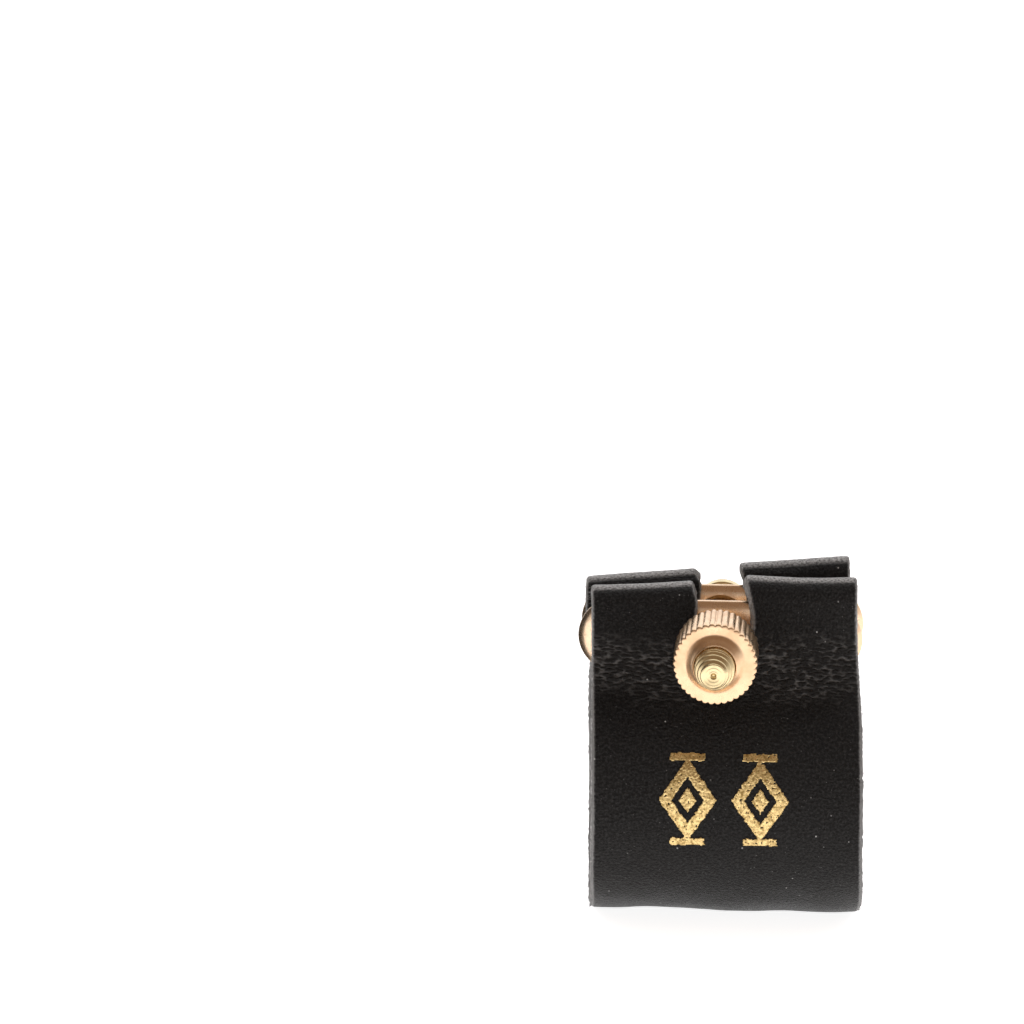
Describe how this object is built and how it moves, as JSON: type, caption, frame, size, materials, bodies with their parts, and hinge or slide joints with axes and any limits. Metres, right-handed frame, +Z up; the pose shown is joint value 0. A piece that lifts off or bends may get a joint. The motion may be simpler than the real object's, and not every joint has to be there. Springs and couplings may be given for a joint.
{
  "type": "saxophone ligature",
  "caption": "Leather strap ligature: a wide band with its ends folded over brass plates, drawn closed by a screw and fluted thumb nut to clamp a reed to a mouthpiece.",
  "frame": {"origin": "on the axis of the mouthpiece bore, at the middle of the strap's width", "axes": "+X along the bore, +Z up from the bore to the closure, -Y towards the thumb nut"},
  "size_m": [0.0313, 0.0334, 0.0386],
  "materials": {
    "black_leather": "smooth coated, semi-gloss, suede inside",
    "gilt_brass": "gilt, satin",
    "screw_brass": "turned, bare",
    "nut_brass": "gilt, turned",
    "gold_foil": "stamped foil, worn"
  },
  "bodies": {
    "strap": {"leather_strap": "black_leather", "back_plate": "gilt_brass", "clamp_screw": "screw_brass"},
    "front_plate": {"front_plate": "gilt_brass"},
    "thumb_nut": {"thumb_nut": "nut_brass"}
  },
  "joints": [
    {"name": "strap_closing", "type": "slide", "parent": "strap", "child": "front_plate", "axis": [0, 1, 0], "range_m": [-0.003, 0.002], "deforming": ["leather_strap"]},
    {"name": "nut_turn", "type": "hinge", "parent": "front_plate", "child": "thumb_nut", "pos_m": [-0.0005, -0.012, 0.01805], "axis": [0, 1, 0], "range_deg": [-1441, 961]}
  ],
  "couplings": [
    {"joint": "nut_turn", "follows": "strap_closing", "rad_per_m": 8377.6}
  ]
}
